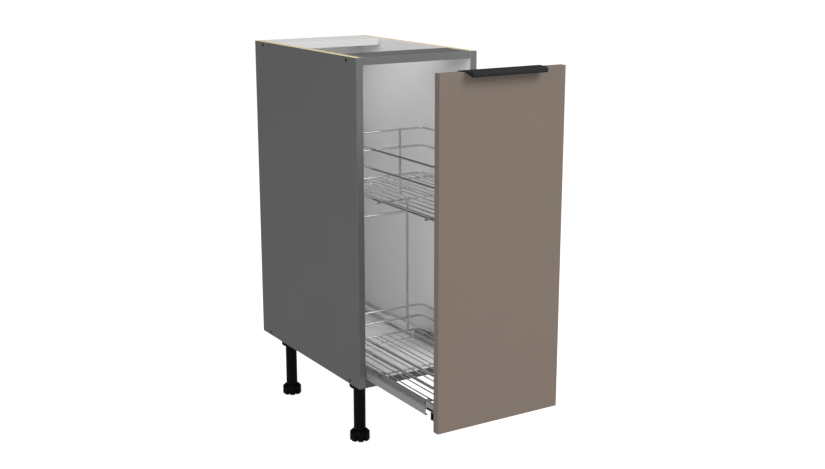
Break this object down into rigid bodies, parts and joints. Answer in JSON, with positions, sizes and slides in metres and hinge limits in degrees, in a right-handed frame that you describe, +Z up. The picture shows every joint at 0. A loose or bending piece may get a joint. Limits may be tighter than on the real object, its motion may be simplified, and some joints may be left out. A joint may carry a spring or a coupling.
{
  "type": "pull-out base cabinet",
  "caption": "Narrow kitchen base cabinet on levelling legs, with a door that pulls wire baskets forward on telescopic runners, shown partly open.",
  "frame": {"origin": "on the floor, midway across the cabinet and midway between the handle's lip and the back, at rest", "axes": "+X across to the cabinet's right as seen from the front, +Y to the rear, +Z up; the door faces -Y"},
  "size_m": [0.3, 0.8222, 0.87],
  "materials": {
    "grey_board": "grey melamine on board, white inside, raw top edge",
    "white_board": "white melamine board",
    "edge_band": "grey edge band",
    "dark_screw": "blackened screw",
    "dowel_wood": "bare beech",
    "zinc_steel": "bright zinc plated",
    "rail_white": "white coated steel",
    "leg_plastic": "black moulded plastic",
    "rail_grey": "satin grey coated steel",
    "cage_plastic": "natural moulded plastic with steel balls",
    "clip_plastic": "grey moulded plastic",
    "door_lacquer": "matt taupe lacquer on board",
    "handle_black": "matt black coated profile",
    "chrome_wire": "chromed wire"
  },
  "bodies": {
    "carcass": {"left_side_panel": "grey_board", "right_side_panel": "grey_board", "bottom_panel": "grey_board", "front_stretcher": "grey_board", "rear_stretcher": "white_board", "back_panel": "white_board", "side_edge_bands": "edge_band", "bottom_edge_band": "edge_band", "stretcher_edge_band": "edge_band", "confirmat_screws": "dark_screw", "wood_dowels": "dowel_wood", "back_panel_nails": "zinc_steel", "leg_screws": "zinc_steel", "runner_screws": "zinc_steel", "left_cabinet_rail": "rail_white", "right_cabinet_rail": "rail_white", "leg_socket_front_left": "leg_plastic", "leg_socket_front_right": "leg_plastic", "leg_socket_rear_left": "leg_plastic", "leg_socket_rear_right": "leg_plastic", "leg_tube_front_left": "leg_plastic", "leg_tube_front_right": "leg_plastic", "leg_tube_rear_left": "leg_plastic", "leg_tube_rear_right": "leg_plastic"},
    "middle_rails": {"left_middle_rail": "rail_white", "right_middle_rail": "rail_white"},
    "inner_ball_cages": {"left_inner_ball_cage": "cage_plastic", "right_inner_ball_cage": "cage_plastic"},
    "outer_ball_cages": {"left_outer_ball_cage": "cage_plastic", "right_outer_ball_cage": "cage_plastic"},
    "pull_out": {"door_panel": "door_lacquer", "edge_handle": "handle_black", "handle_screws": "dark_screw", "bracket_screws": "zinc_steel", "rail_clips": "clip_plastic", "left_pull_out_rail": "rail_grey", "left_lower_bracket": "rail_grey", "left_upper_bracket": "rail_grey", "right_pull_out_rail": "rail_grey", "right_lower_bracket": "rail_grey", "right_upper_bracket": "rail_grey", "frame_crossbars": "chrome_wire", "front_left_rod": "chrome_wire", "front_right_rod": "chrome_wire", "rear_left_rod": "chrome_wire", "rear_right_rod": "chrome_wire", "lower_top_rim": "chrome_wire", "lower_middle_rim": "chrome_wire", "lower_floor_frame": "chrome_wire", "lower_floor_wires": "chrome_wire", "lower_cross_wires": "chrome_wire", "upper_top_rim": "chrome_wire", "upper_middle_rim": "chrome_wire", "upper_floor_frame": "chrome_wire", "upper_floor_wires": "chrome_wire", "upper_cross_wires": "chrome_wire"},
    "foot_front_left": {"levelling_foot_front_left": "leg_plastic"},
    "foot_front_right": {"levelling_foot_front_right": "leg_plastic"},
    "foot_rear_left": {"levelling_foot_rear_left": "leg_plastic"},
    "foot_rear_right": {"levelling_foot_rear_right": "leg_plastic"}
  },
  "joints": [
    {"name": "pull_out_slide", "type": "slide", "parent": "carcass", "child": "pull_out", "axis": [0, -1, 0], "range_m": [-0.291, 0.159]},
    {"name": "middle_rail_slide", "type": "slide", "parent": "carcass", "child": "middle_rails", "axis": [0, -1, 0], "range_m": [-0.1457, 0.0797]},
    {"name": "inner_cage_slide", "type": "slide", "parent": "carcass", "child": "inner_ball_cages", "axis": [0, -1, 0], "range_m": [-0.07295, 0.03995]},
    {"name": "outer_cage_slide", "type": "slide", "parent": "carcass", "child": "outer_ball_cages", "axis": [0, -1, 0], "range_m": [-0.21845, 0.11945]},
    {"name": "level_front_left", "type": "slide", "parent": "carcass", "child": "foot_front_left", "axis": [0, 0, -1], "range_m": [0, 0.02]},
    {"name": "level_front_right", "type": "slide", "parent": "carcass", "child": "foot_front_right", "axis": [0, 0, -1], "range_m": [0, 0.02]},
    {"name": "level_rear_left", "type": "slide", "parent": "carcass", "child": "foot_rear_left", "axis": [0, 0, -1], "range_m": [0, 0.02]},
    {"name": "level_rear_right", "type": "slide", "parent": "carcass", "child": "foot_rear_right", "axis": [0, 0, -1], "range_m": [0, 0.02]}
  ],
  "couplings": [
    {"joint": "middle_rail_slide", "follows": "pull_out_slide", "ratio": 0.5},
    {"joint": "inner_cage_slide", "follows": "pull_out_slide", "ratio": 0.25},
    {"joint": "outer_cage_slide", "follows": "pull_out_slide", "ratio": 0.75}
  ]
}
